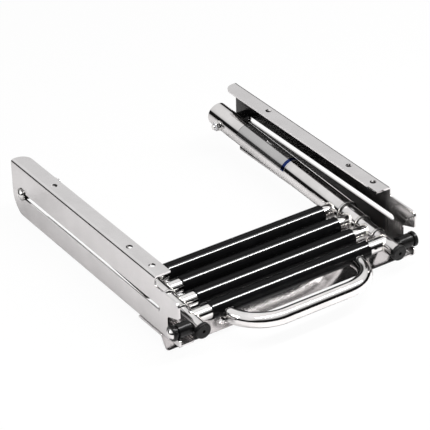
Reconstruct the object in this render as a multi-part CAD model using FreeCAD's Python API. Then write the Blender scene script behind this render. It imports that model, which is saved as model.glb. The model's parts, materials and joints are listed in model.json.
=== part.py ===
"""Slide-in telescoping boarding ladder, stowed between its two under-platform rails.

X runs across the ladder, +Y towards the rear of the rails, +Z up. Lengths are in millimetres.
The rails are laid out from their front end (y = 0) and their flange tops (z = 0).
The ladder is laid out straight, forward from its pivot, and then tipped to its stowed slope.
Everything is written with the centre of the four corner bolts of the platform at the origin.
"""
import FreeCAD, Part
import os
from math import atan2, cos, degrees, hypot, pi, radians, sin, tan

V = FreeCAD.Vector
SIDES = (("left", -1), ("right", 1))

# ---- rails: bent sheet
rail_length = 462.0
rail_width = 415.0          # over the outer faces of the two webs
web_height = 90.0
sheet = 3.0
bend_radius = 5.0           # outside of each bend
top_flange = 27.0
top_flange_front = 60.0
top_flange_corner = 18.0
bottom_flange = 30.5
bottom_flange_front = 4.0
bottom_flange_rear = rail_length - 44.0
bottom_flange_corner = 8.0
web_rear_corner = 37.0
nose_top = 15.0             # depth of the web's top edge in front of the flange
nose_radius = 9.0
nose_height = 25.0
web_front_corner = 6.0

# ---- platform bolts through the top flanges
bolt_row_x = rail_width / 2 - top_flange / 2
bolt_hole = 10.0
bolt_front_y = 86.7
bolt_middle_y = 146.5
bolt_rear_y = rail_length - 106.3

# ---- slot that carries the pivots
slot_depth = 48.5           # centre line below the flange tops
slot_height = 10.0
slot_front = 49.0
slot_rear = rail_length - 22.0
end_land = 0.001            # flat left between the rounds of a slot's end

# ---- front notch that holds the stow roller
notch_back = 29.0
notch_corner = 6.0
notch_roof_rise = 10.0      # roof's rise from the back of the notch to the nose
notch_roof_depth = 50.0     # roof's depth at the back
jaw_depth = web_height - 13.7    # jaw's top under the roller
jaw_slope = 3.0             # degrees, down to the front

# ---- stop plate
plate_rear = 107.0
plate_inner_bend = 1.2
plate_outer_bend = 4.2
plate_bend_y = 47.0
lip_length = 25.0
lip_angle = 34.0            # from the vertical
lip_corner = 5.0

# ---- stiles: four telescoping sections
stile_x = rail_width / 2 - 35.5
tube_outer = (38.0, 31.0, 26.0, 22.2)
tube_wall = (2.0, 1.5, 1.0, 1.5)
rear_overhang = 31.0        # tube 1 behind its pivot
rung_pitch = 37.6           # stowed
rung_before_roller = 16.03  # last rung to the stow rollers' axis
rung_setback = 18.0         # rung axis behind its tube's front end
foot_past_roller = 21.07    # stow rollers' axis to the outer face of the foot plugs
pivot_clearance = 31.5      # pivot to the rear end of tube 2, stowed

# ---- nylon end bushes and rear guides
ring_length = 2.4
ring_proud = 0.3
sleeve_length = 30.0
guide_length = 8.0
guide_spigot = 14.0
guide_wall = 1.4
stop_gap = 1.0
glue_gap = 0.05
running_gap = 0.1
seat_gap = 0.3

# ---- rungs and treads
rung_outer = 22.0
rung_wall = 1.5
tread_length = 2 * stile_x - 67.0
tread_wall = 2.4
tread_slit = 5.0            # degrees of the split along the front of the sleeve
rib_count = 9
rib_pitch = 12.0            # degrees
rib_depth = 0.35
rib_width = 0.7

# ---- grab handle
handle_tube = 23.0
handle_wall = 1.5
handle_width = tread_length - 25.0    # over its tube
handle_reach = 68.0         # rung 4 to the front bar's axis
handle_bend = 60.0
handle_drop = 9.0           # its legs' roots below rung 4's axis
handle_relief = 0.5

# ---- foot plugs
plug_outer = 24.6
plug_flange = 6.0
plug_spigot = 8.0
plug_hole = 5.0
plug_hole_depth = 9.0
plug_round = 2.0

# ---- pivot hardware
bolt_shank = 8.0
dome_diameter = 16.0
dome_height = 5.0
pivot_washer = 20.0
pivot_washer_thickness = 1.5
spacer_outer = 20.0
boss_gap = 0.15
inner_washer = 17.0
inner_washer_thickness = 1.6
nut_flats = 13.0
nut_height = 6.5
nut_chamfer = 0.9           # radius where the chamfer starts, as a share of the corners
nut_bolt_end = 3.5          # bolt showing past the nut
washer_gap = 0.2

# ---- stow rollers at the foot
roller_y = 12.0
roller_outer = 17.0
roller_flange = roller_outer + 5.0    # inside the web
roller_washer = roller_outer + 6.5
roller_washer_thickness = 5.5
roller_washer_round = 1.6
insert_outer = 12.0
insert_depth = 5.0
insert_proud = 1.1

# ---- label band on the right stile
label_start = 48.0
label_length = 128.0
label_thickness = 0.25
label_angle = 150.0

# ---- worked out from the sizes above
web_x = rail_width / 2
web_inner_x = web_x - sheet
pivot_y = slot_rear - slot_height / 2
pivot_z = -slot_depth
slot_travel = slot_rear - slot_front - slot_height
roller_z = -jaw_depth + (roller_outer / 2 + seat_gap) / cos(radians(jaw_slope))
stow_slope = degrees(atan2(pivot_z - roller_z, pivot_y - roller_y))
roller_reach = hypot(pivot_z - roller_z, pivot_y - roller_y)
origin_y = (bolt_front_y + bolt_rear_y) / 2
tube_inner = [outer - 2 * wall for outer, wall in zip(tube_outer, tube_wall)]
rung_reach = [roller_reach - rung_before_roller - rung_pitch * (3 - i) for i in range(4)]
foot_reach = roller_reach + foot_past_roller
tube_front = [reach + rung_setback for reach in rung_reach[:3]] + [foot_reach - plug_flange]
extension = tube_front[0] + seat_gap - sleeve_length - guide_length - stop_gap - pivot_clearance
tube_rear = [-rear_overhang] + [
    front + seat_gap - sleeve_length - extension - guide_length - stop_gap for front in tube_front[:3]
]
pivot_face_x = stile_x + tube_outer[0] / 2


def box(x0, x1, y0, y1, z0, z1):
    return Part.makeBox(x1 - x0, y1 - y0, z1 - z0, V(x0, y0, z0))


def rod_x(diameter, x0, x1, y, z):
    """Cylinder along X."""
    return Part.makeCylinder(diameter / 2, x1 - x0, V(x0, y, z), V(1, 0, 0))


def pipe(x, front, rear, outer, inner):
    """Tube along the stile, between two reaches forward of the pivot."""
    length = front - rear
    body = Part.makeCylinder(outer / 2, length, V(x, -front, 0), V(0, 1, 0))
    if inner:
        body = body.cut(Part.makeCylinder(inner / 2, length + 2, V(x, -front - 1, 0), V(0, 1, 0)))
    return body


def rounded_face(corners, place):
    """Flat face inside corners (a, b, radius); place turns (a, b) into a point."""
    points = [place(a, b) for a, b, radius in corners]
    starts, ends, edges = [], [], []
    for i, (a, b, radius) in enumerate(corners):
        point = points[i]
        if radius == 0:
            starts.append(point)
            ends.append(point)
            continue
        back = V(points[i - 1] - point).normalize()
        ahead = V(points[(i + 1) % len(points)] - point).normalize()
        half = back.getAngle(ahead) / 2
        start = point + back * (radius / tan(half))
        end = point + ahead * (radius / tan(half))
        middle = point + (back + ahead).normalize() * (radius / sin(half) - radius)
        starts.append(start)
        ends.append(end)
        edges.append(Part.Arc(start, middle, end).toShape())
    for i, end in enumerate(ends):
        start = starts[(i + 1) % len(starts)]
        if (start - end).Length > 1e-6:
            edges.append(Part.LineSegment(end, start).toShape())
    return Part.Face(Part.Wire(Part.__sortEdges__(edges)))


def mirrored(shape):
    return shape.mirror(V(0, 0, 0), V(1, 0, 0))


def on_side(shape, side):
    """The right-hand shape, or its mirror image on the left."""
    return shape if side > 0 else mirrored(shape)


def both_sides(shape):
    return [mirrored(shape), shape]


# ---------------------------------------------------------------- rails and stop plate
def web_outline():
    """Side view of a rail, (y, z, corner radius), with the nose, the notch and the jaw at the front."""
    slope = tan(radians(jaw_slope))
    jaw_back = -jaw_depth + slope * (notch_back - roller_y)
    jaw_front = -jaw_depth - slope * roller_y
    roof_back = -notch_roof_depth
    return [
        (rail_length, 0, 0),
        (rail_length, -web_height, web_rear_corner),
        (0, -web_height, web_front_corner),
        (0, jaw_front, sheet / 2),
        (notch_back, jaw_back, notch_corner),
        (notch_back, roof_back, notch_corner),
        (0, roof_back + notch_roof_rise, sheet),
        (0, -nose_top, nose_radius),
        (top_flange_front, -nose_top, sheet),
        (top_flange_front, 0, 0),
    ]


def trim(solid, zone, outline, low, height):
    """Cuts a flange inside a zone back to its outline seen from above."""
    keep = rounded_face(outline, lambda x, y: V(x, y, low)).extrude(V(0, 0, height))
    return solid.cut(zone.cut(keep))


def right_rail():
    top_x = web_x - top_flange
    bottom_x = web_x - bottom_flange
    inner_bend = bend_radius - sheet
    section = [
        (top_x, 0, 0),
        (web_x, 0, bend_radius),
        (web_x, -web_height, bend_radius),
        (bottom_x, -web_height, 0),
        (bottom_x, -web_height + sheet, 0),
        (web_inner_x, -web_height + sheet, inner_bend),
        (web_inner_x, -sheet, inner_bend),
        (top_x, -sheet, 0),
    ]
    channel = rounded_face(section, lambda x, z: V(x, 0, z)).extrude(V(0, rail_length, 0))
    side = rounded_face(web_outline(), lambda y, z: V(0, y, z)).extrude(V(rail_width, 0, 0))
    rail = channel.common(side)
    bend_x = web_x - bend_radius
    top_zone = box(0, bend_x, -1, rail_length + 1, -sheet - 1, 1)
    top_plan = [
        (top_x, top_flange_front, 0),
        (top_x, rail_length, top_flange_corner),
        (web_x, rail_length, 0),
        (web_x, top_flange_front, 0),
    ]
    rail = trim(rail, top_zone, top_plan, -sheet - 1, sheet + 2)
    bottom_zone = box(0, bend_x, -1, rail_length + 1, -web_height - 1, -web_height + sheet + 1)
    bottom_plan = [
        (bottom_x, bottom_flange_front, bottom_flange_corner),
        (bottom_x, bottom_flange_rear, bottom_flange_corner),
        (web_x, bottom_flange_rear, 0),
        (web_x, bottom_flange_front, 0),
    ]
    rail = trim(rail, bottom_zone, bottom_plan, -web_height - 1, sheet + 2)
    for y in (bolt_front_y, bolt_middle_y, bolt_rear_y):
        rail = rail.cut(Part.makeCylinder(bolt_hole / 2, sheet + 2, V(bolt_row_x, y, -sheet - 1)))
    ends = [slot_front, slot_rear]
    slot = [(y, z, slot_height / 2 - end_land) for y, z in (
        (ends[0], -slot_depth - slot_height / 2),
        (ends[1], -slot_depth - slot_height / 2),
        (ends[1], -slot_depth + slot_height / 2),
        (ends[0], -slot_depth + slot_height / 2),
    )]
    slot_cut = rounded_face(slot, lambda y, z: V(web_inner_x - 1, y, z)).extrude(V(sheet + 2, 0, 0))
    return rail.cut(slot_cut)


def stop_plate():
    """Plate under the bottom flanges, with the lip that the lowered ladder leans on."""
    lean = radians(lip_angle)
    down, forward = -cos(lean), -sin(lean)
    top = -web_height
    tip_y = plate_bend_y + forward * lip_length
    tip_z = top + down * lip_length
    under_y = tip_y + sheet * cos(lean)
    under_z = tip_z - sheet * sin(lean)
    corner_y = plate_bend_y + sheet * tan((pi / 2 - lean) / 2)
    profile = [
        (plate_rear, top, 0),
        (plate_bend_y, top, plate_inner_bend),
        (tip_y, tip_z, 0),
        (under_y, under_z, 0),
        (corner_y, top - sheet, plate_outer_bend),
        (plate_rear, top - sheet, 0),
    ]
    plate = rounded_face(profile, lambda y, z: V(-web_x, y, z)).extrude(V(rail_width, 0, 0))
    lip_edges = []
    for edge in plate.Edges:
        middle = (edge.Vertexes[0].Point + edge.Vertexes[-1].Point) * 0.5
        across = abs(edge.Vertexes[0].Point.x - edge.Vertexes[-1].Point.x) < 1e-6
        if across and abs(abs(middle.x) - web_x) < 1e-6 and middle.z < (tip_z + under_z) / 2 + sheet / 2:
            if edge.Length < sheet * 1.01:
                lip_edges.append(edge)
    return plate.makeFillet(lip_corner, lip_edges)


# ---------------------------------------------------------------- ladder, laid out from its pivot
def stowed(shape):
    """Tips a piece of the straight ladder to its stowed slope, at its pivot."""
    placed = shape.copy()
    placed.rotate(V(0, 0, 0), V(1, 0, 0), stow_slope)
    placed.translate(V(0, pivot_y, pivot_z))
    return placed


def stile_tube(i):
    """Right-hand tube of section i + 1, with its bolt holes."""
    tube = pipe(stile_x, tube_front[i], tube_rear[i], tube_outer[i], tube_inner[i])
    if i == 0:
        hole = bolt_shank + 2 * running_gap
        tube = tube.cut(rod_x(hole, stile_x - tube_outer[0], stile_x + tube_outer[0], 0, 0))
    if i == 3:
        tube = tube.cut(rod_x(insert_outer, stile_x, stile_x + tube_outer[3], -roller_reach, 0))
    return tube


def end_bush(i):
    """Nylon bush in the front end of tube i + 1, which guides the next tube."""
    front = tube_front[i]
    bore = tube_outer[i + 1] + 2 * running_gap
    ring = pipe(stile_x, front + ring_length, front, tube_outer[i] + 2 * ring_proud, bore)
    sleeve = pipe(stile_x, front, front - sleeve_length, tube_inner[i] - 2 * glue_gap, bore)
    return ring.fuse(sleeve).removeSplitter()


def rear_guide(i):
    """Nylon guide on the rear end of tube i + 1, which runs in the tube outside it."""
    rear = tube_rear[i]
    spigot = tube_inner[i] - 2 * glue_gap
    bore = spigot - 2 * guide_wall
    head = pipe(stile_x, rear, rear - guide_length, tube_inner[i - 1] - 2 * running_gap, bore)
    spigot_part = pipe(stile_x, rear + guide_spigot, rear, spigot, bore)
    return head.fuse(spigot_part).removeSplitter()


def rung(i):
    """Rung tube, its ends saddled to the stiles."""
    reach = rung_reach[i]
    tube = rod_x(rung_outer, -stile_x, stile_x, -reach, 0)
    tube = tube.cut(rod_x(rung_outer - 2 * rung_wall, -stile_x - 1, stile_x + 1, -reach, 0))
    for x in (-stile_x, stile_x):
        tube = tube.cut(pipe(x, reach + rung_outer, reach - rung_outer, tube_outer[i] + 2 * glue_gap, 0))
    return tube


def tread(i):
    """Clip-on tread: a split sleeve with ribs along its top."""
    reach = rung_reach[i]
    half = tread_length / 2
    bore = rung_outer / 2 + glue_gap
    outer = bore + tread_wall
    start = tread_slit / 2
    wedge_length = outer * 3
    sleeve = rod_x(2 * outer, -half, half, -reach, 0).cut(rod_x(2 * bore, -half - 1, half + 1, -reach, 0))
    slit = [(0, 0, 0)] + [
        (-wedge_length * cos(radians(a)), wedge_length * sin(radians(a)), 0) for a in (start, -start)
    ]
    gap = rounded_face(slit, lambda y, z: V(-half - 1, y - reach, z)).extrude(V(tread_length + 2, 0, 0))
    sleeve = sleeve.cut(gap)
    for k in range(rib_count):
        turn = 90 + rib_pitch * (k - (rib_count - 1) / 2)
        groove = box(-half - 1, half + 1, -rib_width / 2, rib_width / 2, outer - rib_depth, outer + 1)
        groove.rotate(V(0, 0, 0), V(1, 0, 0), turn - 90)
        groove.translate(V(0, -reach, 0))
        sleeve = sleeve.cut(groove)
    return sleeve


def handle_solid(diameter):
    """Swept bar of the grab handle: two quarter bends and a front bar, its legs' roots lowered."""
    leg_x = (handle_width - handle_tube) / 2
    rung_y = -rung_reach[3]
    front_y = rung_y - handle_reach
    bend_y = front_y + handle_bend
    turn_x = leg_x - handle_bend
    half_turn = handle_bend * (1 - cos(pi / 4))
    path = Part.Wire([
        Part.LineSegment(V(-leg_x, rung_y, 0), V(-leg_x, bend_y, 0)).toShape(),
        Part.Arc(V(-leg_x, bend_y, 0), V(-leg_x + half_turn, front_y + half_turn, 0),
                 V(-turn_x, front_y, 0)).toShape(),
        Part.LineSegment(V(-turn_x, front_y, 0), V(turn_x, front_y, 0)).toShape(),
        Part.Arc(V(turn_x, front_y, 0), V(leg_x - half_turn, front_y + half_turn, 0),
                 V(leg_x, bend_y, 0)).toShape(),
        Part.LineSegment(V(leg_x, bend_y, 0), V(leg_x, rung_y, 0)).toShape(),
    ])
    circle = Part.Circle(V(-leg_x, rung_y, 0), V(0, 1, 0), diameter / 2).toShape()
    bar = path.makePipeShell([Part.Wire([circle])], True, False)
    bar.rotate(V(0, front_y, 0), V(1, 0, 0), -degrees(atan2(handle_drop, handle_reach)))
    return bar


def grab_handle():
    bar = handle_solid(handle_tube).cut(handle_solid(handle_tube - 2 * handle_wall))
    return bar.cut(rod_x(rung_outer + 2 * glue_gap, -stile_x, stile_x, -rung_reach[3], 0))


def foot_plug():
    """Plug in the foot of tube 4, with a blind centre hole."""
    head = pipe(stile_x, foot_reach, tube_front[3], plug_outer, 0)
    front_edge = [edge for edge in head.Edges if abs(edge.BoundBox.Center.y + foot_reach) < 1e-6
                  and edge.BoundBox.YLength < 1e-6]
    head = head.makeFillet(plug_round, front_edge)
    spigot = pipe(stile_x, tube_front[3], tube_front[3] - plug_spigot, tube_inner[3] - 2 * glue_gap, 0)
    hole = pipe(stile_x, foot_reach + 1, foot_reach - plug_hole_depth, plug_hole, 0)
    return head.fuse(spigot).removeSplitter().cut(hole)


def dome_bolt(y, seat_x, end_x):
    """Dome-headed bolt along X, its head outboard of seat_x."""
    ball = (dome_diameter ** 2 / 4 + dome_height ** 2) / (2 * dome_height)
    dome = Part.makeSphere(ball, V(seat_x + dome_height - ball, y, 0))
    head = dome.common(rod_x(dome_diameter, seat_x, seat_x + dome_height + 1, y, 0))
    return head.fuse(rod_x(bolt_shank, end_x, seat_x, y, 0)).removeSplitter()


def ring_x(outer, bore, x0, x1, y):
    """Washer, spacer or roller along X."""
    return rod_x(outer, x0, x1, y, 0).cut(rod_x(bore, x0 - 1, x1 + 1, y, 0))


# ---- pivot hardware, right-hand side, at y = 0 of the ladder
washer_seat_x = web_x + washer_gap
head_seat_x = washer_seat_x + pivot_washer_thickness
nut_seat_x = stile_x - tube_outer[0] / 2 - inner_washer_thickness - glue_gap
nut_end_x = nut_seat_x - nut_height
snug_hole = bolt_shank + 2 * glue_gap


def pivot_bolt():
    return dome_bolt(0, head_seat_x, nut_end_x - nut_bolt_end)


def pivot_washer_ring():
    return ring_x(pivot_washer, snug_hole, washer_seat_x, head_seat_x, 0)


def pivot_spacer():
    """Nylon spacer between the web and the stile, with a boss that runs in the slot."""
    body = rod_x(spacer_outer, pivot_face_x + glue_gap, web_inner_x - seat_gap, 0, 0)
    boss = rod_x(slot_height - 2 * boss_gap, web_inner_x - seat_gap, washer_seat_x - glue_gap, 0, 0)
    return body.fuse(boss).cut(rod_x(snug_hole, pivot_face_x - 1, washer_seat_x + 1, 0, 0))


def inner_washer_ring():
    return ring_x(inner_washer, snug_hole, nut_seat_x, nut_seat_x + inner_washer_thickness, 0)


def pivot_nut():
    across = nut_flats / cos(pi / 6) / 2
    corners = [(across * cos(k * pi / 3), across * sin(k * pi / 3), 0) for k in range(6)]
    body = rounded_face(corners, lambda y, z: V(nut_end_x, y, z)).extrude(V(nut_height, 0, 0))
    chamfer = Part.makeCone(across * nut_chamfer, across * nut_chamfer + nut_height, nut_height, V(nut_end_x, 0, 0), V(1, 0, 0))
    return body.common(chamfer).cut(rod_x(snug_hole, nut_end_x - 1, nut_seat_x + 1, 0, 0))


# ---- stow roller and its bolt, right-hand side
roller_start_x = stile_x + tube_outer[3] / 2 + insert_proud + seat_gap
roller_end_x = web_x + 2 * seat_gap
roller_head_x = roller_end_x + seat_gap + roller_washer_thickness


def stow_roller():
    """Roller with a neck that rests on the jaw and a flange inside the web."""
    flange_end_x = web_inner_x - seat_gap
    bore = bolt_shank + 2 * running_gap
    flange = ring_x(roller_flange, bore, roller_start_x, flange_end_x, -roller_reach)
    return flange.fuse(ring_x(roller_outer, bore, flange_end_x, roller_end_x, -roller_reach))


def stow_bolt():
    return dome_bolt(-roller_reach, roller_head_x, roller_start_x - insert_proud - insert_depth)


def stow_washer():
    ring = ring_x(roller_washer, snug_hole, roller_end_x + seat_gap, roller_head_x, -roller_reach)
    rims = [edge for edge in ring.Edges if edge.Closed and edge.Length > pi * (roller_washer - 1)]
    return ring.makeFillet(roller_washer_round, rims)


def stow_insert():
    """Threaded insert set in the wall of tube 4."""
    start = stile_x + tube_outer[3] / 2 - insert_depth
    return ring_x(insert_outer - 2 * glue_gap, snug_hole, start, roller_start_x - seat_gap, -roller_reach)


def label_band():
    """Thin plain band that wraps the upper outside of the right top tube."""
    outer = tube_outer[0] + 2 * (label_thickness + glue_gap)
    band = pipe(stile_x, label_start + label_length, label_start, outer, tube_outer[0] + 2 * glue_gap)
    reach = outer * 2
    half = radians(label_angle / 2)
    wedge = [(0, 0, 0), (-reach * sin(half), reach * cos(half), 0), (-reach, reach, 0),
             (reach, reach, 0), (reach * sin(half), reach * cos(half), 0)]
    top = rounded_face(wedge, lambda x, z: V(stile_x + x, -label_start - label_length, z))
    return band.common(top.extrude(V(0, label_length, 0)))


# ---------------------------------------------------------------- nodes
def all_nodes():
    rail = right_rail()
    nodes = {"left_rail": [mirrored(rail)], "right_rail": [rail], "stop_plate": [stop_plate()]}
    ladder = {}
    for name, side in SIDES:
        for i in range(4):
            ladder[f"stile_{i + 1}_{name}"] = [on_side(stile_tube(i), side)]
        for i in range(3):
            ladder[f"end_bush_{i + 1}_{name}"] = [on_side(end_bush(i), side)]
        for i in range(1, 4):
            ladder[f"rear_guide_{i + 1}_{name}"] = [on_side(rear_guide(i), side)]
        ladder[f"foot_plug_{name}"] = [on_side(foot_plug(), side)]
        ladder[f"stow_roller_{name}"] = [on_side(stow_roller(), side)]
    for i in range(4):
        ladder[f"rung_{i + 1}"] = [rung(i)]
        ladder[f"tread_{i + 1}"] = [tread(i)]
    ladder["tread_4"] = [ladder["tread_4"][0].cut(handle_solid(handle_tube + 2 * handle_relief))]
    ladder["grab_handle"] = [grab_handle()]
    ladder["pivot_bolts"] = both_sides(pivot_bolt())
    ladder["pivot_washers"] = both_sides(pivot_washer_ring())
    ladder["pivot_spacers"] = both_sides(pivot_spacer())
    ladder["pivot_inner_washers"] = both_sides(inner_washer_ring())
    ladder["pivot_nuts"] = both_sides(pivot_nut())
    ladder["stow_bolts"] = both_sides(stow_bolt())
    ladder["stow_washers"] = both_sides(stow_washer())
    ladder["stow_inserts"] = both_sides(stow_insert())
    ladder["label_band"] = [label_band()]
    for node, solids in ladder.items():
        nodes[node] = [stowed(solid) for solid in solids]
    return nodes


def main():
    os.makedirs("parts", exist_ok=True)
    for node, solids in all_nodes().items():
        parts = [solid for shape in solids for solid in shape.Solids]
        shape = parts[0] if len(parts) == 1 else Part.makeCompound(parts)
        shape.translate(V(0, -origin_y, 0))
        shape.exportStep(f"parts/{node}.step")
        print(f"{node}: {len(parts)} solid(s), {sum(p.Volume for p in parts):.0f} mm3, valid {shape.isValid()}")
    print(f"pivot at y {pivot_y - origin_y:.3f}, z {pivot_z:.3f}; slot travel {slot_travel:.1f}")
    print(f"stow slope {stow_slope:.4f} degrees, extension {extension:.1f}")
    print(f"stow roller axis at y {roller_y - origin_y:.3f}, z {roller_z:.3f}")


main()
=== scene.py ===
import json
import math

import bmesh
import bpy
from mathutils import Matrix, Vector


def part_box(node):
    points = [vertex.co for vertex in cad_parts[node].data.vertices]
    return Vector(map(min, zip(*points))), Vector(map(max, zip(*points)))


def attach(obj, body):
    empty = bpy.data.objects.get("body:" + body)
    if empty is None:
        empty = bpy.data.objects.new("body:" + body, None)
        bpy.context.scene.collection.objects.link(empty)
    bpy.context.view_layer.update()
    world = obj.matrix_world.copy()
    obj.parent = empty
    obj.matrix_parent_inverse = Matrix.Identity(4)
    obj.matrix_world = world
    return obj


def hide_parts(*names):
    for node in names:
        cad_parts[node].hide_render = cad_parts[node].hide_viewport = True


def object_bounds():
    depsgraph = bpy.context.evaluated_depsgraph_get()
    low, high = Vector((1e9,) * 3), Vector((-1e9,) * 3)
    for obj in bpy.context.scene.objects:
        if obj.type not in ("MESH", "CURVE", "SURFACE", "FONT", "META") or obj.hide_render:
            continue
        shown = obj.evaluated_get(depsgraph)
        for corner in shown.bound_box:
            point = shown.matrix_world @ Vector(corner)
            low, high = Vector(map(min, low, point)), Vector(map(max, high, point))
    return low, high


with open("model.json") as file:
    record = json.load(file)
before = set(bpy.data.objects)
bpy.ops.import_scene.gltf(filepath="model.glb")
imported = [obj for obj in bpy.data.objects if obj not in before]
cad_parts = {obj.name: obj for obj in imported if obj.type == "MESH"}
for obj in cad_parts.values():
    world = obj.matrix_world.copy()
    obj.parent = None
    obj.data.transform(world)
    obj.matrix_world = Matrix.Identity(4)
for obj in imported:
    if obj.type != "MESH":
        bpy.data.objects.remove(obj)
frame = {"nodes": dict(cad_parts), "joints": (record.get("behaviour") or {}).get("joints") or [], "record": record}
cadLow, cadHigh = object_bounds()
nodes = frame["nodes"]
bodyOf = {node: body for body, members in frame["record"]["behaviour"]["bodies"].items() for node in members}
slotOf = {part["node"]: part["material_slot"] for part in frame["record"]["subparts"]}
joints = {joint["name"]: joint for joint in frame["joints"]}
scene = bpy.context.scene
mm = 0.001
hair = 0.001 * mm  # lengths that differ by less are taken as equal
sides = {"left": -1, "right": 1}
print("frame loaded:", len(nodes), "nodes")

# the ladder is laid out straight, pivot at the origin and foot towards -Y, then tipped to its stowed slope
pivotPoint = Vector(joints["front_lift"]["pos_m"])
alongStile = Vector(joints["extend_second"]["axis"]).normalized()
slope = math.atan2(-alongStile.z, -alongStile.y)
ladderPlace = Matrix.Translation(pivotPoint) @ Matrix.Rotation(slope, 4, "X")


def middleOf(node):
    low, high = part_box(node)
    return (low + high) / 2


def reachOf(node):  # from the pivot to the node's middle, along the stile
    return (middleOf(node) - pivotPoint).dot(alongStile)


def radiusOf(node, axis):  # half of the node's box across one axis
    low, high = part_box(node)
    return (high[axis] - low[axis]) / 2


# small helpers for building shader trees
def addNode(tree, kind, **settings):
    node = tree.nodes.new(kind)
    for name, value in settings.items():
        setattr(node, name, value)
    return node


# another node's output is linked to the socket, a plain value is set on it
def feed(tree, value, socket):
    if isinstance(value, bpy.types.NodeSocket):
        tree.links.new(value, socket)
    else:
        socket.default_value = value


def opaque(colour):
    return (*colour, 1)


def coordsOf(tree, kind="Object"):
    return addNode(tree, "ShaderNodeTexCoord").outputs[kind]


def splitAxes(tree, vector):
    split = addNode(tree, "ShaderNodeSeparateXYZ")
    tree.links.new(vector, split.inputs[0])
    return split.outputs


def noiseIn(tree, vector, scale, detail, roughness):
    noise = addNode(tree, "ShaderNodeTexNoise")
    for socket, value in (("Vector", vector), ("Scale", scale), ("Detail", detail), ("Roughness", roughness)):
        feed(tree, value, noise.inputs[socket])
    return noise.outputs["Fac"]


def spread(tree, value, low, high, fromLow, fromHigh):
    remap = addNode(tree, "ShaderNodeMapRange")
    settings = {"Value": value, "From Min": fromLow, "From Max": fromHigh, "To Min": low, "To Max": high}
    for socket, setting in settings.items():
        feed(tree, setting, remap.inputs[socket])
    return remap.outputs["Result"]


def maths(tree, operation, first, second):
    node = addNode(tree, "ShaderNodeMath", operation=operation)
    feed(tree, first, node.inputs[0])
    feed(tree, second, node.inputs[1])
    return node.outputs[0]


mixSockets = {"RGBA": (6, 7, 2), "FLOAT": (2, 3, 0)}  # first value, second value and result


def mixed(tree, factor, first, second, kind="RGBA"):
    mix = addNode(tree, "ShaderNodeMix", data_type=kind)
    firstSocket, secondSocket, result = mixSockets[kind]
    feed(tree, factor, mix.inputs[0])
    feed(tree, first, mix.inputs[firstSocket])
    feed(tree, second, mix.inputs[secondSocket])
    return mix.outputs[result]


def rampOf(tree, factor, stops, interpolation="LINEAR"):
    node = addNode(tree, "ShaderNodeValToRGB")
    tree.links.new(factor, node.inputs["Fac"])
    ramp = node.color_ramp
    ramp.interpolation = interpolation
    while len(ramp.elements) < len(stops):
        ramp.elements.new(0.5)
    for element, (position, colour) in zip(ramp.elements, stops):
        element.position = position
        element.color = opaque(colour)
    return node.outputs["Color"]


def newGroup(name, inputs, outputs):
    group = bpy.data.node_groups.new(name, "ShaderNodeTree")
    for socket, kind, value in inputs:
        made = group.interface.new_socket(name=socket, in_out="INPUT", socket_type=kind)
        if value is not None:
            made.default_value = value
    for socket, kind in outputs:
        group.interface.new_socket(name=socket, in_out="OUTPUT", socket_type=kind)
    entry = addNode(group, "NodeGroupInput")
    leave = addNode(group, "NodeGroupOutput")
    return group, entry.outputs, leave.inputs


# polished steel: fine polishing lines, broad soft smudges, and a slight change of tone
def makePolishGroup():
    look = {"lineDetail": 2.0, "smudgeScale": 24.0, "smudgeDetail": 4.0, "noiseRoughness": 0.6,
            "lineShare": 0.45, "smudgeShare": 0.55, "roughSpread": (0.36, 0.64)}
    group, entry, leave = newGroup(
        "polishMarks",
        [("Vector", "NodeSocketVector", None), ("Line Stretch", "NodeSocketVector", (1, 1, 1)),
         ("Roughness Low", "NodeSocketFloat", 0.05), ("Roughness High", "NodeSocketFloat", 0.12)],
        [("Tone", "NodeSocketFloat"), ("Roughness", "NodeSocketFloat"), ("Height", "NodeSocketFloat")],
    )
    stretch = addNode(group, "ShaderNodeMapping")
    group.links.new(entry["Line Stretch"], stretch.inputs["Scale"])
    group.links.new(entry["Vector"], stretch.inputs["Vector"])
    lines = noiseIn(group, stretch.outputs["Vector"], 1.0, look["lineDetail"], look["noiseRoughness"])
    smudges = noiseIn(group, entry["Vector"], look["smudgeScale"], look["smudgeDetail"],
                      look["noiseRoughness"])
    both = maths(group, "ADD", maths(group, "MULTIPLY", lines, look["lineShare"]),
                 maths(group, "MULTIPLY", smudges, look["smudgeShare"]))
    rough = spread(group, both, entry["Roughness Low"], entry["Roughness High"], *look["roughSpread"])
    group.links.new(smudges, leave["Tone"])
    group.links.new(rough, leave["Roughness"])
    group.links.new(lines, leave["Height"])
    return group


# plastic and rubber: pale handling dust, a mottled gloss and a fine moulded grain
def makeHandledGroup():
    look = {"patchScale": 38.0, "patchDetail": 5.0, "patchRoughness": 0.65, "grainDetail": 2.0,
            "grainRoughness": 0.5, "dustSpread": (0.5, 0.78), "roughSpread": (0.35, 0.7)}
    group, entry, leave = newGroup(
        "handledSurface",
        [("Vector", "NodeSocketVector", None), ("Grain Scale", "NodeSocketFloat", 2600.0),
         ("Roughness Low", "NodeSocketFloat", 0.2), ("Roughness High", "NodeSocketFloat", 0.4)],
        [("Dust", "NodeSocketFloat"), ("Roughness", "NodeSocketFloat"), ("Height", "NodeSocketFloat")],
    )
    patches = noiseIn(group, entry["Vector"], look["patchScale"], look["patchDetail"], look["patchRoughness"])
    grain = noiseIn(group, entry["Vector"], entry["Grain Scale"], look["grainDetail"], look["grainRoughness"])
    dust = spread(group, patches, 0.0, 1.0, *look["dustSpread"])
    rough = spread(group, patches, entry["Roughness Low"], entry["Roughness High"], *look["roughSpread"])
    group.links.new(dust, leave["Dust"])
    group.links.new(rough, leave["Roughness"])
    group.links.new(grain, leave["Height"])
    return group


polishGroup = makePolishGroup()
handledGroup = makeHandledGroup()


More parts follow.
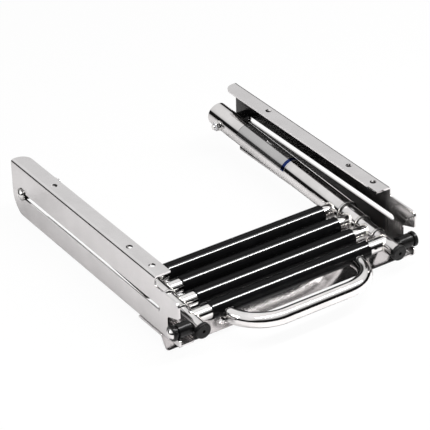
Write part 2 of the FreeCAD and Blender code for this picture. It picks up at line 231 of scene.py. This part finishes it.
def newMaterial(name, metallic):
    material = bpy.data.materials.new(name)
    material.use_nodes = True
    tree = material.node_tree
    shader = tree.nodes["Principled BSDF"]
    shader.inputs["Metallic"].default_value = metallic
    return material, tree, shader


def addMarks(tree, group, roughness):
    marks = addNode(tree, "ShaderNodeGroup", node_tree=group)
    tree.links.new(coordsOf(tree), marks.inputs["Vector"])
    marks.inputs["Roughness Low"].default_value, marks.inputs["Roughness High"].default_value = roughness
    return marks


# the colour, gloss and fine relief that every finish ends with
def finishShader(tree, shader, colour, marks, bumpStrength, bumpDistance):
    tree.links.new(colour, shader.inputs["Base Color"])
    tree.links.new(marks.outputs["Roughness"], shader.inputs["Roughness"])
    bump = addNode(tree, "ShaderNodeBump")
    bump.inputs["Strength"].default_value = bumpStrength
    bump.inputs["Distance"].default_value = bumpDistance
    tree.links.new(marks.outputs["Height"], bump.inputs["Height"])
    tree.links.new(bump.outputs["Normal"], shader.inputs["Normal"])


steelRelief = {"toneSpread": (0.35, 0.65), "bumpDistance": 0.02 * mm}
mouldedRelief = {"bumpDistance": 0.05 * mm}


def steel(name, look):
    material, tree, shader = newMaterial(name, 1.0)
    marks = addMarks(tree, polishGroup, look["roughness"])
    marks.inputs["Line Stretch"].default_value = look["lines"]
    tone = spread(tree, marks.outputs["Tone"], 0.0, 1.0, *steelRelief["toneSpread"])
    colour = mixed(tree, tone, opaque(look["dark"]), opaque(look["light"]))
    finishShader(tree, shader, colour, marks, look["bump"], steelRelief["bumpDistance"])
    return material


def moulded(name, look):
    material, tree, shader = newMaterial(name, 0.0)
    marks = addMarks(tree, handledGroup, look["roughness"])
    marks.inputs["Grain Scale"].default_value = look["grain"]
    dust = maths(tree, "MULTIPLY", marks.outputs["Dust"], look["dust"])
    colour = mixed(tree, dust, opaque(look["colour"]), opaque(look["dustColour"]))
    shader.inputs["Specular IOR Level"].default_value = look["specular"]
    finishShader(tree, shader, colour, marks, look["bump"], mouldedRelief["bumpDistance"])
    return material


# painted shade inside the rails: a mask by position picks out the two webs' inner faces, which get a nearly black
# colour standing in for shade and dark reflections, and a higher roughness
def shadeInsideWebs(material, look):
    tree = material.node_tree
    shader = tree.nodes["Principled BSDF"]
    axes = splitAxes(tree, coordsOf(tree))
    apart = maths(tree, "ABSOLUTE", axes["X"], 0.0)
    mask = spread(tree, axes["Y"], 0.0, 1.0, *look["fadeIn"])
    for value, limits in ((apart, look["web"]), (axes["Z"], look["rise"])):
        for operation, limit in zip(("GREATER_THAN", "LESS_THAN"), limits):
            mask = maths(tree, "MULTIPLY", mask, maths(tree, operation, value, limit))
    shadedValues = {"Base Color": (opaque(look["colour"]), "RGBA"), "Roughness": (look["roughness"], "FLOAT")}
    for socket, (shaded, kind) in shadedValues.items():
        polished = shader.inputs[socket].links[0].from_socket
        tree.links.new(mixed(tree, mask, polished, shaded, kind), shader.inputs[socket])


# the treads are glossy along their smooth ridge, which faces up and forward
def glossOnRidge(material, look):
    tree = material.node_tree
    shader = tree.nodes["Principled BSDF"]
    tilt, core, fade = (math.radians(look[name]) for name in ("tilt", "core", "fade"))
    facing = addNode(tree, "ShaderNodeVectorMath", operation="DOT_PRODUCT")
    facing.inputs[1].default_value = (0, -math.sin(tilt), math.cos(tilt))
    tree.links.new(coordsOf(tree, "Normal"), facing.inputs[0])
    ridge = spread(tree, facing.outputs["Value"], 0.0, 1.0, math.cos(fade), math.cos(core))
    tree.links.new(ridge, shader.inputs["Coat Weight"])
    shader.inputs["Coat Roughness"].default_value = look["roughness"]
    shader.inputs["Coat IOR"].default_value = look["ior"]


# the band: a pale film with a dark hairline at its rear edge and one dark blue ring near its front
def makeBandMaterial():
    look = {"film": (0.66, 0.65, 0.65), "line": (0.03, 0.03, 0.04), "ring": (0.012, 0.025, 0.12),
            "panel": (0.44, 0.435, 0.435), "hairline": 1.2 * mm, "ringWidth": 7 * mm, "ringInset": 2 * mm,
            "metallic": 0.95, "roughness": (0.06, 0.11), "dust": 0.25, "bump": 0.08,
            "bumpDistance": 0.03 * mm}
    material, tree, shader = newMaterial("labelFilm", look["metallic"])
    low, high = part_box("label_band")
    length = (high - low).y / math.cos(slope)
    mapping = addNode(tree, "ShaderNodeMapping", vector_type="TEXTURE")
    mapping.inputs["Location"].default_value = middleOf("label_band")
    mapping.inputs["Rotation"].default_value = (slope, 0, 0)
    tree.links.new(coordsOf(tree), mapping.inputs["Vector"])
    axes = splitAxes(tree, mapping.outputs["Vector"])
    place = spread(tree, axes["Y"], 0.0, 1.0, -length / 2, length / 2)
    front = look["ringInset"] / length
    stops = [(0.0, look["film"]), (front, look["ring"]), (front + look["ringWidth"] / length, look["panel"]),
             (1 - look["hairline"] / length, look["line"])]
    pattern = rampOf(tree, place, stops, "CONSTANT")
    marks = addMarks(tree, handledGroup, look["roughness"])
    dust = maths(tree, "MULTIPLY", marks.outputs["Dust"], look["dust"])
    colour = mixed(tree, dust, pattern, opaque(look["film"]))
    finishShader(tree, shader, colour, marks, look["bump"], look["bumpDistance"])
    return material


steelLooks = {
    "sheetSteel": {"lines": (900, 9, 900), "roughness": (0.10, 0.17), "bump": 0.22,
                   "dark": (0.66, 0.645, 0.645), "light": (0.72, 0.705, 0.705)},
    "stileSteel": {"lines": (60, 1600, 60), "roughness": (0.03, 0.07), "bump": 0.1,
                   "dark": (0.64, 0.625, 0.62), "light": (0.74, 0.725, 0.72)},
    "rungSteel": {"lines": (1600, 60, 60), "roughness": (0.03, 0.08), "bump": 0.1,
                  "dark": (0.72, 0.705, 0.70), "light": (0.82, 0.80, 0.79)},
    "boltSteel": {"lines": (500, 500, 500), "roughness": (0.07, 0.16), "bump": 0.15,
                  "dark": (0.70, 0.69, 0.68), "light": (0.82, 0.81, 0.80)},
    "washerSteel": {"lines": (500, 500, 500), "roughness": (0.12, 0.22), "bump": 0.15,
                    "dark": (0.22, 0.215, 0.21), "light": (0.36, 0.35, 0.345)},
    "weldSteel": {"lines": (700, 700, 700), "roughness": (0.14, 0.3), "bump": 0.4,
                  "dark": (0.62, 0.60, 0.57), "light": (0.80, 0.78, 0.75)},
}
mouldedLooks = {
    "treadPlastic": {"colour": (0.0024, 0.0024, 0.0026), "dustColour": (0.012, 0.012, 0.012), "dust": 0.25,
                     "roughness": (0.14, 0.22), "grain": 2200.0, "bump": 0.1, "specular": 0.07},
    "blackRubber": {"colour": (0.003, 0.003, 0.003), "dustColour": (0.02, 0.02, 0.02), "dust": 0.3,
                    "roughness": (0.2, 0.32), "grain": 1800.0, "bump": 0.2, "specular": 0.2},
    "darkNylon": {"colour": (0.004, 0.004, 0.004), "dustColour": (0.02, 0.02, 0.02), "dust": 0.3,
                  "roughness": (0.25, 0.38), "grain": 2000.0, "bump": 0.2, "specular": 0.25},
    "nutNylon": {"colour": (0.45, 0.46, 0.5), "dustColour": (0.6, 0.6, 0.62), "dust": 0.4,
                 "roughness": (0.35, 0.5), "grain": 1800.0, "bump": 0.2, "specular": 0.5},
}
# painted shade on the webs' inner faces: where the mask lies, and the nearly black colour and roughness put there
insideWebShade = {"web": (203.6 * mm, 205.2 * mm), "rise": (-86.5 * mm, -3.4 * mm),
              "fadeIn": (-190 * mm, -150 * mm), "colour": (0.05, 0.049, 0.048), "roughness": 0.3}
ridgeGloss = {"tilt": 31.5, "core": 5.0, "fade": 9.0, "roughness": 0.17, "ior": 1.65}
materials = {name: steel(name, look) for name, look in steelLooks.items()}
materials.update({name: moulded(name, look) for name, look in mouldedLooks.items()})
materials["labelFilm"] = makeBandMaterial()
# paints shade onto the inner faces of the sheet steel's webs
shadeInsideWebs(materials["sheetSteel"], insideWebShade)
glossOnRidge(materials["treadPlastic"], ridgeGloss)
print("materials made:", len(materials))

finishOf = {
    "rail_steel": "sheetSteel", "plate_steel": "sheetSteel", "stile_steel": "stileSteel",
    "rung_steel": "rungSteel", "handle_steel": "rungSteel", "fastener_steel": "boltSteel",
    "nylon": "darkNylon", "tread_plastic": "treadPlastic", "plug_rubber": "blackRubber",
    "roller_rubber": "blackRubber", "label": "labelFilm",
}
for node, cadObject in nodes.items():
    finish = "washerSteel" if node == "pivot_washers" else finishOf[slotOf[node]]
    cadObject.data.materials.clear()
    cadObject.data.materials.append(materials[finish])


# turns a mesh in the making into a piece that rides its body
def finishPiece(name, bm, body, finish, place=None, smoothAngle=35):
    if place is not None:
        bmesh.ops.transform(bm, matrix=place, verts=bm.verts)
    bmesh.ops.remove_doubles(bm, verts=bm.verts, dist=hair / 10)
    bmesh.ops.recalc_face_normals(bm, faces=bm.faces)
    for face in bm.faces:
        face.smooth = True
    for edge in bm.edges:
        edge.smooth = not (edge.is_manifold and edge.calc_face_angle(0) > math.radians(smoothAngle))
    mesh = bpy.data.meshes.new(name)
    bm.to_mesh(mesh)
    bm.free()
    mesh.materials.append(materials[finish])
    piece = bpy.data.objects.new(name, mesh)
    scene.collection.objects.link(piece)
    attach(piece, body)
    return piece


def closedLoop(bm, points):
    verts = [bm.verts.new(point) for point in points]
    return verts + [bm.edges.new((vert, verts[i - 1])) for i, vert in enumerate(verts)]


# a small circle above the centre, spun once about a line along X
def spinRing(bm, centre, radius, look):
    atTop = Matrix.Translation(centre + Vector((0, 0, radius))) @ Matrix.Rotation(math.pi / 2, 4, "X")
    circle = bmesh.ops.create_circle(bm, segments=look["section"], radius=look["bead"], matrix=atTop)["verts"]
    edges = list({edge for vert in circle for edge in vert.link_edges})
    bmesh.ops.spin(bm, geom=circle + edges, cent=centre, axis=(1, 0, 0), angle=2 * math.pi,
                   steps=look["steps"], use_merge=True)


# a CAD piece's own shape with its sheared or turned edges just broken
soften = {"mergeWithin": 2 * hair, "flatAngle": 0.6, "segments": 2, "profile": 0.5}
softened = {
    "left_rail": {"width": 0.45 * mm, "angle": 50},
    "right_rail": {"width": 0.45 * mm, "angle": 50},
    "stop_plate": {"width": 0.45 * mm, "angle": 50},
    "stile_1_left": {"width": 0.5 * mm, "angle": 60},
    "stile_1_right": {"width": 0.5 * mm, "angle": 60},
}


def softenEdges(node, look):
    bm = bmesh.new()
    bm.from_mesh(nodes[node].data)
    bmesh.ops.remove_doubles(bm, verts=bm.verts, dist=soften["mergeWithin"])
    bmesh.ops.dissolve_limit(bm, angle_limit=math.radians(soften["flatAngle"]), verts=bm.verts,
                             edges=bm.edges)
    sharp = [edge for edge in bm.edges
             if edge.is_manifold and edge.calc_face_angle(0) > math.radians(look["angle"])]
    bmesh.ops.bevel(bm, geom=sharp, offset=look["width"], segments=soften["segments"],
                    profile=soften["profile"], affect="EDGES", clamp_overlap=True, material=-1)
    piece = finishPiece(f"{node}_softened", bm, bodyOf[node], finishOf[slotOf[node]])
    flats = piece.modifiers.new("flats", "WEIGHTED_NORMAL")
    flats.keep_sharp = True
    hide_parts(node)


for node, look in softened.items():
    softenEdges(node, look)
print("edges softened on:", ", ".join(softened))

# treads: split sleeves with fine ribs and eased ends
tread = {"bore": 0.08 * mm, "inset": 0.05 * mm, "slit": 4, "steps": 120, "ribEvery": 3,
         "ribDepth": 0.14 * mm, "ribbedTilts": ((-48, 14), (76, 100)), "endEase": 0.7 * mm,
         "endDrop": 0.42 * mm, "handleRelief": 0.55 * mm, "smoothAngle": 24}


def makeTread(number):
    node = f"tread_{number}"
    reach = reachOf(f"rung_{number}")
    halfLength = radiusOf(node, 0)
    inner = radiusOf(f"rung_{number}", 2) + tread["bore"]
    outer = radiusOf(node, 2) - tread["inset"]
    midWall = (inner + outer) / 2
    centre = Vector((-halfLength, -reach, 0))
    bm = bmesh.new()
    start = math.radians(180 + tread["slit"] / 2)  # the slit faces forward, towards -Y
    turn = math.radians(360 - tread["slit"])
    direction = Vector((0, math.cos(start), math.sin(start)))
    low = bm.verts.new(centre + direction * inner)
    high = bm.verts.new(centre + direction * outer)
    edge = bm.edges.new((low, high))
    bmesh.ops.spin(bm, geom=[low, high, edge], cent=centre, axis=(1, 0, 0), angle=turn, steps=tread["steps"])
    for vert in bm.verts:
        arm = vert.co - centre
        angle = (math.atan2(arm.z, arm.y) - start) % (2 * math.pi)
        step = round(angle / turn * tread["steps"])
        tilt = math.degrees(math.atan2(-arm.y, arm.z))  # forward from the top
        ribbed = any(rear < tilt < front for rear, front in tread["ribbedTilts"])
        if arm.length > midWall and ribbed and step % tread["ribEvery"] == 0:
            vert.co = centre + arm.normalized() * (outer - tread["ribDepth"])
    extruded = bmesh.ops.extrude_face_region(bm, geom=bm.faces[:])["geom"]
    ends = [item for item in extruded if isinstance(item, bmesh.types.BMVert)]
    bmesh.ops.translate(bm, vec=(2 * halfLength, 0, 0), verts=ends)
    for side in sides.values():
        bmesh.ops.bisect_plane(bm, geom=bm.verts[:] + bm.edges[:] + bm.faces[:],
                               plane_co=(side * (halfLength - tread["endEase"]), 0, 0), plane_no=(side, 0, 0))
    for vert in bm.verts:  # the two ends taper in a little
        arm = Vector((0, vert.co.y + reach, vert.co.z))
        atEnd = abs(abs(vert.co.x) - halfLength) < hair
        if atEnd and arm.length > midWall:
            vert.co = Vector((vert.co.x, -reach, 0)) + arm.normalized() * (arm.length - tread["endDrop"])
    piece = finishPiece(f"{node}_ribbed", bm, bodyOf[node], "treadPlastic", ladderPlace,
                        tread["smoothAngle"])
    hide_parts(node)
    return piece


# the handle's legs pass through tread 4
handle = {"legRadius": 11.5 * mm, "drop": 9 * mm, "reach": 68 * mm, "cutLength": 24 * mm, "segments": 64}


def cutForHandle(piece):
    cutter = bmesh.new()
    reach = reachOf("rung_4")
    legRadius = handle["legRadius"] + tread["handleRelief"]
    lean = math.atan2(handle["drop"], handle["reach"])
    for side in sides.values():
        root = (side * (radiusOf("grab_handle", 0) - handle["legRadius"]), -reach, -handle["drop"])
        turned = Matrix.Rotation(-lean, 4, "X") @ Matrix.Rotation(math.pi / 2, 4, "X")
        ahead = Matrix.Translation((0, 0, handle["cutLength"] / 2))
        bmesh.ops.create_cone(cutter, cap_ends=True, segments=handle["segments"], radius1=legRadius,
                              radius2=legRadius, depth=handle["cutLength"],
                              matrix=Matrix.Translation(root) @ turned @ ahead)
    bmesh.ops.transform(cutter, matrix=ladderPlace, verts=cutter.verts)
    cutMesh = bpy.data.meshes.new("handleCut")
    cutter.to_mesh(cutMesh)
    cutter.free()
    cutObject = bpy.data.objects.new("handleCut", cutMesh)
    scene.collection.objects.link(cutObject)
    boolean = piece.modifiers.new("handleCut", "BOOLEAN")
    boolean.operation = "DIFFERENCE"
    boolean.solver = "EXACT"
    boolean.object = cutObject
    bpy.context.view_layer.update()
    cutTread = bpy.data.meshes.new_from_object(piece.evaluated_get(bpy.context.evaluated_depsgraph_get()))
    piece.modifiers.clear()
    piece.data = cutTread
    bpy.data.objects.remove(cutObject)


for number in (1, 2, 3):
    makeTread(number)
cutForHandle(makeTread(4))
print("treads made")

# polished lips rolled over the front ends of the stiles
lip = {"start": 0.9 * mm, "length": 2.4 * mm, "proud": 0.36 * mm, "cover": 0.15 * mm, "bore": 1.0 * mm,
       "round": 0.35 * mm, "chamfer": 0.105 * mm, "back": 0.225 * mm, "steps": 96, "smoothAngle": 40}


def makeTubeLip(number, name):
    stile, inside = f"stile_{number}_{name}", f"stile_{number + 1}_{name}"
    outer, inner = radiusOf(stile, 0) + lip["proud"], radiusOf(inside, 0) + lip["bore"]
    toLadder = ladderPlace.inverted()
    front = max(-(toLadder @ vert.co).y for vert in nodes[stile].data.vertices)
    start, tip = front + lip["start"], front + lip["length"] + lip["cover"]
    profile = [(start, outer - lip["cover"]), (start, outer), (tip - lip["round"], outer),
               (tip - lip["chamfer"], outer - lip["chamfer"]), (tip, outer - lip["round"]), (tip, inner),
               (tip - lip["cover"], inner), (tip - lip["back"], outer - lip["cover"])]
    axis = Vector((middleOf(stile).x, 0, 0))
    bm = bmesh.new()
    loop = closedLoop(bm, [axis + Vector((0, -reach, radius)) for reach, radius in profile])
    bmesh.ops.spin(bm, geom=loop, cent=axis, axis=(0, 1, 0), angle=2 * math.pi, steps=lip["steps"],
                   use_merge=True)
    finishPiece(f"stile_lip_{number}_{name}", bm, bodyOf[stile], "boltSteel", ladderPlace,
                lip["smoothAngle"])


for number in (1, 2, 3):
    for name in sides:
        makeTubeLip(number, name)
print("stile lips made")

# weld beads where the rungs meet the stiles, each bent to lie on its stile's round side
weld = {"bead": 1.5 * mm, "sink": 0.35 * mm, "ripples": 26, "ripple": 0.16, "steps": 104, "section": 10,
        "reachShare": 0.999, "smoothAngle": 60}


def makeWeld(number, name):
    rung, stile = f"rung_{number}", f"stile_{number}_{name}"
    side, stileRadius = sides[name], radiusOf(stile, 0)
    beadRadius = radiusOf(rung, 2) + weld["sink"]
    centre = Vector((middleOf(stile).x - side * stileRadius, -reachOf(rung), 0))
    bm = bmesh.new()
    spinRing(bm, centre, beadRadius, weld)
    for vert in bm.verts:
        arm = vert.co - centre
        turn = math.atan2(arm.z, arm.y)
        radial = Vector((0, math.cos(turn), math.sin(turn))) * beadRadius
        swell = 1 + weld["ripple"] * math.sin(weld["ripples"] * turn)
        core = centre + radial
        vert.co = core + (vert.co - core) * swell
        across = min(abs(radial.z), stileRadius * weld["reachShare"])
        vert.co.x += side * (stileRadius - math.sqrt(stileRadius ** 2 - across ** 2))
    finishPiece(f"rung_weld_{number}_{name}", bm, bodyOf[rung], "weldSteel", ladderPlace,
                weld["smoothAngle"])


for number in (1, 2, 3, 4):
    for name in sides:
        makeWeld(number, name)
print("weld beads made")

# thread showing past the pivot nuts, and the nuts' nylon collars
thread = {"radius": 4 * mm, "pitch": 1.25 * mm, "depth": 0.45 * mm, "shown": 2.6 * mm, "steps": 32,
          "inset": 0.2 * mm, "sink": 0.02 * mm, "ridgeShare": 0.98, "smoothAngle": 40}
collar = {"radius": 5.4 * mm, "bead": 0.75 * mm, "sink": 0.15 * mm, "section": 12, "steps": 48,
          "smoothAngle": 60}


def nutEndX(side):  # the nuts' inner faces, nearest the middle of the ladder
    return side * min(abs(vert.co.x) for vert in nodes["pivot_nuts"].data.vertices)


def makeThread(name, side):
    centre = Vector((nutEndX(side) - side * (thread["shown"] + thread["inset"]), 0, 0))
    turns = thread["shown"] / thread["pitch"]
    root = thread["radius"] - thread["sink"]
    ridge = [(0, root), (thread["pitch"] / 2, thread["radius"] + thread["depth"]),
             (thread["pitch"] * thread["ridgeShare"], root)]
    bm = bmesh.new()
    loop = closedLoop(bm, [centre + Vector((side * along, 0, radius)) for along, radius in ridge])
    bmesh.ops.spin(bm, geom=loop, cent=centre, axis=(1, 0, 0),
                   dvec=(side * thread["pitch"] / thread["steps"], 0, 0),
                   angle=2 * math.pi * turns, steps=int(thread["steps"] * turns))
    bmesh.ops.holes_fill(bm, edges=[edge for edge in bm.edges if edge.is_boundary], sides=0)
    finishPiece(f"pivot_thread_{name}", bm, "pivot_carriage", "boltSteel", ladderPlace,
                thread["smoothAngle"])


def makeCollar(name, side):
    bm = bmesh.new()
    spinRing(bm, Vector((nutEndX(side) + side * collar["sink"], 0, 0)), collar["radius"], collar)
    finishPiece(f"nut_collar_{name}", bm, "pivot_carriage", "nutNylon", ladderPlace,
                collar["smoothAngle"])


for name, side in sides.items():
    makeThread(name, side)
    makeCollar(name, side)
print("threads and collars made")


# a pale floor: the camera sees it almost white, with the ladder's faint shadow
def makeFloor():
    look = {"size": 5.0, "segments": 96, "drop": 0.4 * mm, "colour": (0.62, 0.612, 0.612),
            "roughness": 0.9, "cameraShare": 0.955}
    bm = bmesh.new()
    bmesh.ops.create_circle(bm, cap_ends=True, segments=look["segments"], radius=look["size"],
                            matrix=Matrix.Translation((0, 0, cadLow.z - look["drop"])))
    mesh = bpy.data.meshes.new("floor")
    bm.to_mesh(mesh)
    bm.free()
    floor = bpy.data.objects.new("floor", mesh)
    scene.collection.objects.link(floor)
    material, tree, shader = newMaterial("paleFloor", 0.0)
    shader.inputs["Base Color"].default_value = opaque(look["colour"])
    shader.inputs["Roughness"].default_value = look["roughness"]
    shader.inputs["Specular IOR Level"].default_value = 0.0
    glow = addNode(tree, "ShaderNodeEmission")
    path = addNode(tree, "ShaderNodeLightPath")
    mix = addNode(tree, "ShaderNodeMixShader")
    tree.links.new(maths(tree, "MULTIPLY", path.outputs["Is Camera Ray"], look["cameraShare"]), mix.inputs[0])
    tree.links.new(shader.outputs[0], mix.inputs[1])
    tree.links.new(glow.outputs[0], mix.inputs[2])
    tree.links.new(mix.outputs[0], tree.nodes["Material Output"].inputs["Surface"])
    mesh.materials.append(material)


def greyRise(tree, height, rises):
    return rampOf(tree, height, [((rise + 1) / 2, (grey,) * 3) for rise, grey in rises])


# the camera sees plain white; polished metal also sees a dark wall round the horizon, higher in front,
# open to white above
def makeWorld():
    look = {"diffuse": 0.25, "front": (-0.35, -0.6),
            "behindRises": [(-1.0, 0.55), (-0.12, 0.45), (-0.03, 0.008), (0.34, 0.01), (0.42, 0.8),
                            (0.62, 0.98), (0.8, 1.0), (1.0, 1.1)],
            "frontRises": [(-1.0, 0.5), (-0.12, 0.4), (-0.03, 0.008), (0.48, 0.01), (0.60, 0.5), (0.78, 1.0)]}
    world = bpy.data.worlds.new("studio")
    scene.world = world
    world.use_nodes = True
    tree = world.node_tree
    axes = splitAxes(tree, coordsOf(tree, "Generated"))
    height = spread(tree, axes["Z"], 0.0, 1.0, -1.0, 1.0)
    inFront = spread(tree, axes["Y"], 0.0, 1.0, *look["front"])
    walls = mixed(tree, inFront, greyRise(tree, height, look["behindRises"]),
                  greyRise(tree, height, look["frontRises"]))
    path = addNode(tree, "ShaderNodeLightPath").outputs
    lit = mixed(tree, path["Is Glossy Ray"], opaque((look["diffuse"],) * 3), walls)
    seen = maths(tree, "MAXIMUM", path["Is Camera Ray"], path["Is Transmission Ray"])
    whole = mixed(tree, seen, lit, opaque((1, 1, 1)))
    tree.links.new(whole, tree.nodes["Background"].inputs["Color"])


# rectangular lamps, long side along X, each aimed at its target
softboxes = {
    "overheadStrip": {"place": (0.34, -0.56, 1.25), "target": (0.0, -0.1, -0.06), "size": (2.5, 0.12),
                      "radiance": 58.0},
    "leftFill": {"place": (-1.5, 0.2, 0.8), "target": (0, 0, -0.05), "size": (0.8, 0.5),
                 "radiance": 5.0},
}


def addSoftbox(name, look):
    width, height = look["size"]
    data = bpy.data.lights.new(name, "AREA")
    data.shape = "RECTANGLE"
    data.size, data.size_y = width, height
    data.energy = look["radiance"] * math.pi * width * height
    lamp = bpy.data.objects.new(name, data)
    scene.collection.objects.link(lamp)
    place = Vector(look["place"])
    away = (place - Vector(look["target"])).normalized()
    along = (Vector((1, 0, 0)) - away * away.x).normalized()
    across = away.cross(along)
    lamp.matrix_world = Matrix.Translation(place) @ Matrix((along, across, away)).transposed().to_4x4()


def makeCamera():
    view = {"azimuth": 33.17, "elevation": -31.46, "roll": -1.49, "fieldOfView": 10.5425,
            "place": Vector((-1.62145, -2.48286, 1.76015)), "sensorWidth": 36, "clip": (0.05, 50)}
    azimuth, elevation, roll = (math.radians(view[name]) for name in ("azimuth", "elevation", "roll"))
    ahead = Vector((math.sin(azimuth) * math.cos(elevation), math.cos(azimuth) * math.cos(elevation),
                    math.sin(elevation)))
    right = Vector((math.cos(azimuth), -math.sin(azimuth), 0))
    up = right.cross(ahead)
    rolledRight = right * math.cos(roll) + up * math.sin(roll)
    rolledUp = up * math.cos(roll) - right * math.sin(roll)
    data = bpy.data.cameras.new("camera")
    data.sensor_width = view["sensorWidth"]
    data.lens = view["sensorWidth"] / 2 / math.tan(math.radians(view["fieldOfView"]) / 2)
    data.clip_start, data.clip_end = view["clip"]
    camera = bpy.data.objects.new("camera", data)
    scene.collection.objects.link(camera)
    turned = Matrix((rolledRight, rolledUp, -ahead)).transposed().to_4x4()
    camera.matrix_world = Matrix.Translation(view["place"]) @ turned
    scene.camera = camera


makeFloor()
makeWorld()
for name, look in softboxes.items():
    addSoftbox(name, look)
makeCamera()
scene.view_settings.view_transform = "Standard"
print("stage set")
